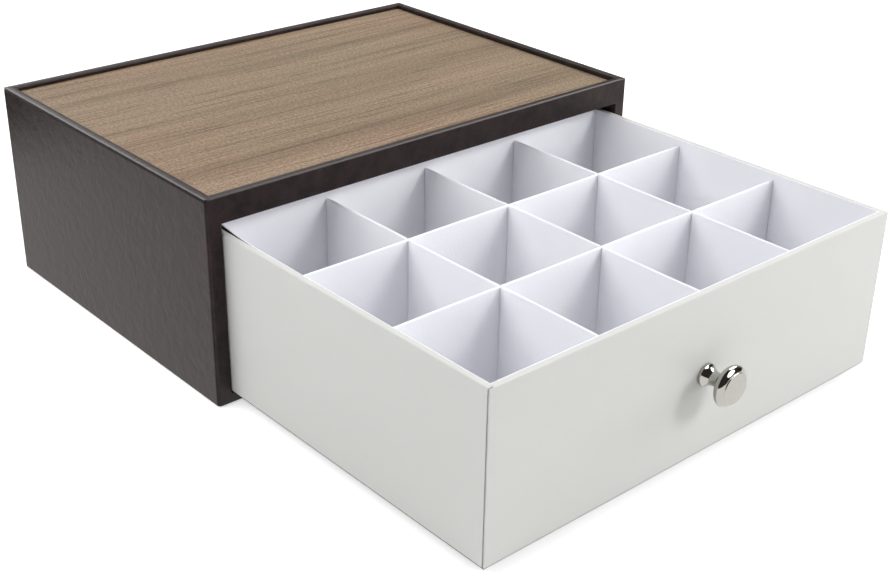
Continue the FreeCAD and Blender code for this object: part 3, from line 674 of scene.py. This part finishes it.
def sprung(y, z):
    """How far the left liner stands off: nothing before the rear, then growing with the power 1.6 of
    the way back and with the power 1.5 of the height."""
    back, up = (np.clip((place - begins) / reach, 0, 1)
                for place, begins, reach in zip((y, z), SPRUNG_FROM, SPRUNG_REACH))
    return SPRUNG_OFF * back ** 1.6 * up ** 1.5


# places along a side liner, closer together where the left one springs off
side_run = np.concatenate((np.linspace(LINER_FRONT + CORNER_ROOM, -0.150, 8),
                           np.linspace(-0.145, LINER_BACK - CORNER_ROOM, 16)))
for side, sign, lean in (("left", -1, sprung), ("right", 1, upright)):
    rings = card(side_run, CARD_FOOT, LINER_TOP, LINER / 2, lean)
    rings = np.stack((rings[..., 1] + sign * (LINER_X - LINER / 2), rings[..., 0], rings[..., 2]), -1)
    finish_card(side + "_liner", rings, "liner_" + side, (white_paper, dark_paper), back=sign)

cross_run = np.linspace(-LINER_X, LINER_X, 24)
for side, y in (("front", LINER_FRONT + LINER / 2), ("back", LINER_BACK - LINER / 2)):
    rings = card(cross_run, CARD_FOOT, LINER_TOP, LINER / 2, upright)
    rings[..., 1] += y
    finish_card(side + "_liner", rings, "liner_" + side, (white_paper,))
dress(white_paper, "liner_floor")


# Dividers. White papered cards with a folded top edge: three long ones slotted from above and
# two cross ones slotted from below, pushed together half and half into twelve cells.

DIVIDER_HALF = 0.0009
DIVIDER_TOP = 0.0990
SLOT_HALF = 0.0011
SLOT_UP, SLOT_DOWN = 0.0555, 0.0549
LONG_X = (-0.0731, 0.0, 0.0731)
LONG_FRONT, LONG_BACK = -0.3175, -0.1038
CROSS_Y = (-0.2464, -0.1749)
CROSS_END = 0.1459
BOW_HEIGHT = 0.088
# a slot's wall takes up this much of the card's length, and places this near outside it are left out
WALL_STEP, SLOT_MARGIN, HAIR = 0.00002, 0.0005, 0.00001


def slotted(start, end, crossings):
    """Places along a card, close together at the walls of each slot, and whether each lies in a slot."""
    crossings = np.array(crossings)
    walls = crossings[:, None] + np.array((-SLOT_HALF, WALL_STEP - SLOT_HALF, 0, SLOT_HALF - WALL_STEP, SLOT_HALF))
    along = np.unique(np.concatenate((np.linspace(start, end, 24), walls.ravel())))
    near = np.abs(along[:, None] - crossings).min(1)
    keep = (near < SLOT_HALF + HAIR) | (near > SLOT_HALF + SLOT_MARGIN)
    return along[keep], near[keep] < SLOT_HALF - HAIR


def bowed(bow, start, end, waves):
    """A card's bow: a sine of so many half waves from start to end, growing with height above the foot."""
    return lambda place, height: (bow * np.sin((place - start) / (end - start) * waves * np.pi)
                                  * (height - CARD_FOOT) / BOW_HEIGHT)


for side, x, bow in zip(("left", "middle", "right"), LONG_X, (0.0003, -0.0003, 0.0002)):
    along, in_slot = slotted(LONG_FRONT, LONG_BACK, CROSS_Y)
    rings = card(along, CARD_FOOT, np.where(in_slot, SLOT_DOWN, DIVIDER_TOP), DIVIDER_HALF,
                 bowed(bow, LONG_FRONT, LONG_BACK, waves=3))
    rings = np.stack((rings[..., 1] + x, rings[..., 0], rings[..., 2]), -1)
    finish_card("long_divider_" + side, rings, "divider_long_" + side, (white_paper,))

for side, y, bow in zip(("front", "back"), CROSS_Y, (0.0003, -0.0003)):
    along, in_slot = slotted(-CROSS_END, CROSS_END, LONG_X)
    rings = card(along, np.where(in_slot, SLOT_UP, CARD_FOOT), DIVIDER_TOP, DIVIDER_HALF,
                 bowed(bow, -CROSS_END, CROSS_END, waves=4))
    rings[..., 1] += y
    finish_card("cross_divider_" + side, rings, "divider_cross_" + side, (white_paper,))


# Knob and screw. A turned brass knob, nickelled and polished: a foot disc, a hollowed neck, a
# round head and a domed face inside a fine step. A flat-headed screw holds it from inside.

HEAD_CENTRE, HEAD_PLACE, HEAD_BEND = 0.00829, 0.01606, 0.00324
FRONT_CENTRE, FRONT_REACH = 0.0020, (0.00953, 0.00435)
FACE, FACE_PLACE, DOME = 0.0083, 0.01952, 0.00016
THREAD, THREAD_DEPTH = 0.0020, 0.0110
AXIS = 0.00002


def arc(centre, reach, first, last, steps):
    """An arc in radius and place: the centre plus the reach times cosine and sine, first to last degrees."""
    roll = np.radians(np.linspace(first, last, steps))[:, None]
    return np.array(centre) + np.array(reach) * np.concatenate((np.cos(roll), np.sin(roll)), 1)


# the profile in radius and place before the drawer's front: foot, neck, head, step, face, thread;
# the neck's hollow is a bend between two ends, pulled to a third point by 2 t (1 - t)
t = np.linspace(0, 1, 24)[:, None]
neck_hollow = (1 - t) ** 2 * (0.0061, 0.0019) + 2 * t * (1 - t) * (0.0016, 0.0072) + t ** 2 * (0.0064, 0.0126)
across = np.linspace(FACE, AXIS, 20)[:, None]
knob_profile = np.concatenate((
    [(THREAD, 0.0), (0.0061, 0.0), (0.0063, 0.0002), (0.0063, 0.0016), (0.00625, 0.00178)],
    neck_hollow,
    [(0.0088, 0.0131), (0.0098, 0.0133)],
    arc((HEAD_CENTRE, HEAD_PLACE), HEAD_BEND, -52, 0, 14),
    arc((FRONT_CENTRE, HEAD_PLACE), FRONT_REACH, 3, 42, 20),
    [(0.00896, 0.01899), (0.00886, 0.01900), (0.00877, 0.01904), (0.00870, 0.01912), (0.00867, 0.01922),
     (0.00866, 0.01936), (0.00862, 0.01945), (0.00852, 0.01951)],
    np.concatenate((across, FACE_PLACE + DOME * (1 - (across / FACE) ** 2)), 1),
    [(AXIS, THREAD_DEPTH), (THREAD, THREAD_DEPTH)]))


def turned(profile):
    """A profile turned about the knob's axis: radius times cosine and sine of the angle, and minus the
    place along Y. Columns run round, so the seam closes by itself, and the profile's end joins its
    start."""
    angle = np.linspace(0, 2 * np.pi, 96, endpoint=False)
    radius, reach = profile[:, :1], profile[:, 1:]
    return np.stack((radius * np.cos(angle), DRAWER_FRONT - reach + 0 * angle,
                     KNOB_Z + radius * np.sin(angle)), -1)


turned_knob = mesh_object("turned_knob", *lofted(turned(knob_profile), closed=True), crease=50.0)

nickel, nodes, join, shader = new_finish("nickel")
place = add(nodes, "TexCoord")
polish = add(nodes, "TexNoise", scale=400.0, detail=3.0)
shine = add(nodes, "MapRange", to_min=0.05, to_max=0.11)
tone = ramp(nodes, (0.438, 0.438, 0.410), (0.478, 0.478, 0.450))
join(place.outputs["Object"], polish.inputs["Vector"])
join(polish.outputs["Fac"], shine.inputs["Value"])
join(polish.outputs["Fac"], tone.inputs["Fac"])
join(tone.outputs["Color"], shader.inputs["Base Color"])
join(shine.outputs["Result"], shader.inputs["Roughness"])
shader.inputs["Metallic"].default_value = 1.0
turned_knob.data.materials.append(nickel)
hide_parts("knob")
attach(turned_knob, "drawer")
dress(nickel, "knob_screw")
